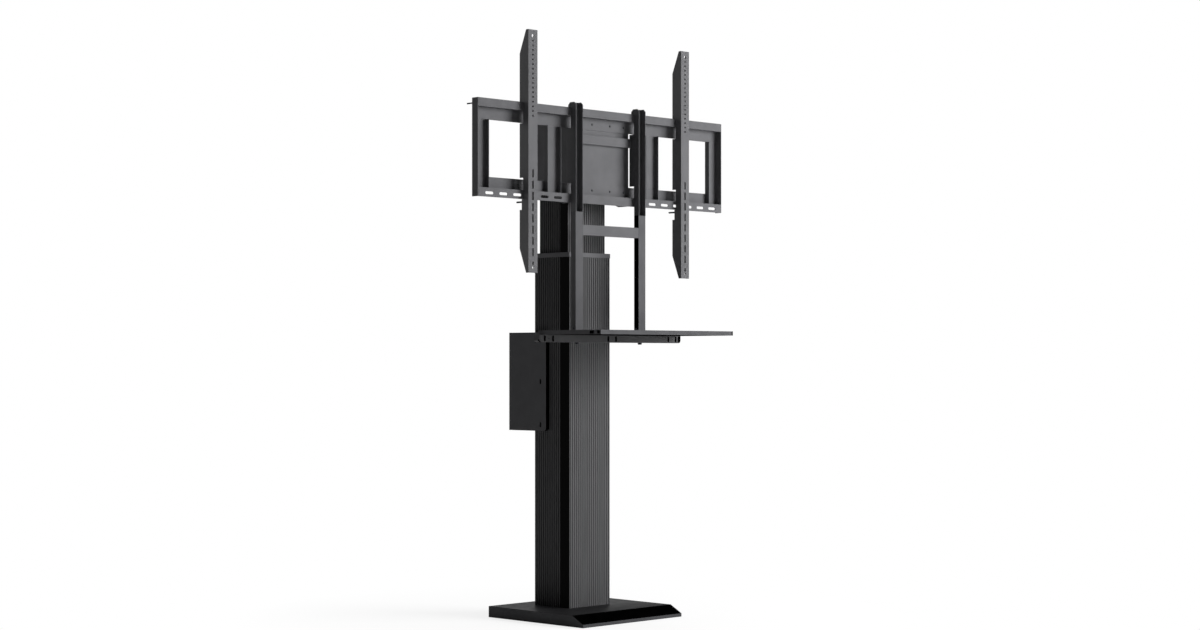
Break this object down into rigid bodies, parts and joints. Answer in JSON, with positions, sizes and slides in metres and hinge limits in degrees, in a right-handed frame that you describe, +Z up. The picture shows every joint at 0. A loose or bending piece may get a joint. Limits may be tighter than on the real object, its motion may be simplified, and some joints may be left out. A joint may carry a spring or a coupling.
{
  "type": "motorized display lift",
  "caption": "Free-standing motorized column lift with a wide rail frame, sliding display arms and a small shelf in front",
  "frame": {"origin": "on the floor, under the axis of the column", "axes": "+Z up, -Y to the front where the display hangs, +X to the viewer's right"},
  "size_m": [1.2294, 0.6766, 2.046],
  "materials": {
    "black_aluminium": "satin black anodised",
    "black_steel": "satin black powder coat",
    "base_black": "satin black powder coat",
    "raw_steel": "grey primer",
    "zinc_fasteners": "zinc plated",
    "black_fasteners": "black oxide",
    "pads": "matt rubber",
    "glides": "natural low-friction plastic",
    "ground_steel": "rolled and oiled",
    "bronze": "machined",
    "motor_case": "black enamel",
    "gear_case": "die cast",
    "electronics_case": "fine texture",
    "inlet_black": "moulded"
  },
  "bodies": {
    "base_column": {"base_cover": "base_black", "base_slab": "raw_steel", "foot_pads": "pads", "column_flange": "raw_steel", "flange_bolts": "zinc_fasteners", "outer_column": "black_aluminium", "column_collar": "black_steel", "upper_glides": "glides", "motor_bracket": "raw_steel", "gearbox": "gear_case", "drive_motor": "motor_case", "spindle_bearing": "ground_steel", "rear_cover": "black_steel", "cover_carrier": "black_steel", "cover_screws": "black_fasteners", "carrier_screws": "black_fasteners", "power_supply": "electronics_case", "control_unit": "electronics_case", "mains_inlet": "inlet_black"},
    "drive_spindle": {"spindle": "ground_steel"},
    "lift": {"bottom_rail": "black_steel", "end_plate_left": "black_steel", "end_plate_right": "black_steel", "end_upright_left": "black_steel", "end_upright_right": "black_steel", "hanger_left": "black_steel", "hanger_right": "black_steel", "hanger_strap": "black_steel", "head_bracket": "black_steel", "head_gussets": "black_steel", "head_top_plate": "black_steel", "inner_column": "black_aluminium", "inner_upright_left": "black_steel", "inner_upright_right": "black_steel", "lower_glides": "glides", "nut_plate": "raw_steel", "nut_plate_screws": "zinc_fasteners", "post_crossbar": "black_steel", "post_foot_screws": "black_fasteners", "post_left": "black_steel", "post_right": "black_steel", "post_spigot_left": "black_steel", "post_spigot_right": "black_steel", "rail_bolts": "black_fasteners", "shelf_beam": "black_steel", "shelf_bolts": "zinc_fasteners", "shelf_sleeves": "zinc_fasteners", "shelf_tray": "black_steel", "spindle_nut": "bronze", "stage_screws": "black_fasteners", "top_rail": "black_steel"},
    "right_arm": {"display_arm_right": "black_steel", "lock_plate_right": "black_steel", "lock_screw_right": "zinc_fasteners"},
    "left_arm": {"display_arm_left": "black_steel", "lock_plate_left": "black_steel", "lock_screw_left": "zinc_fasteners"}
  },
  "joints": [
    {"name": "lift_slide", "type": "slide", "parent": "base_column", "child": "lift", "axis": [0, 0, 1], "range_m": [-0.49, 0]},
    {"name": "spindle_turn", "type": "hinge", "parent": "base_column", "child": "drive_spindle", "pos_m": [0, 0, 0.1], "axis": [0, 0, 1], "range_deg": [-5, 14710]},
    {"name": "right_arm_slide", "type": "slide", "parent": "lift", "child": "right_arm", "axis": [1, 0, 0], "range_m": [-0.077, 0.146]},
    {"name": "left_arm_slide", "type": "slide", "parent": "lift", "child": "left_arm", "axis": [-1, 0, 0], "range_m": [-0.077, 0.146]}
  ],
  "couplings": [
    {"joint": "spindle_turn", "follows": "lift_slide", "rad_per_m": -523.6}
  ]
}
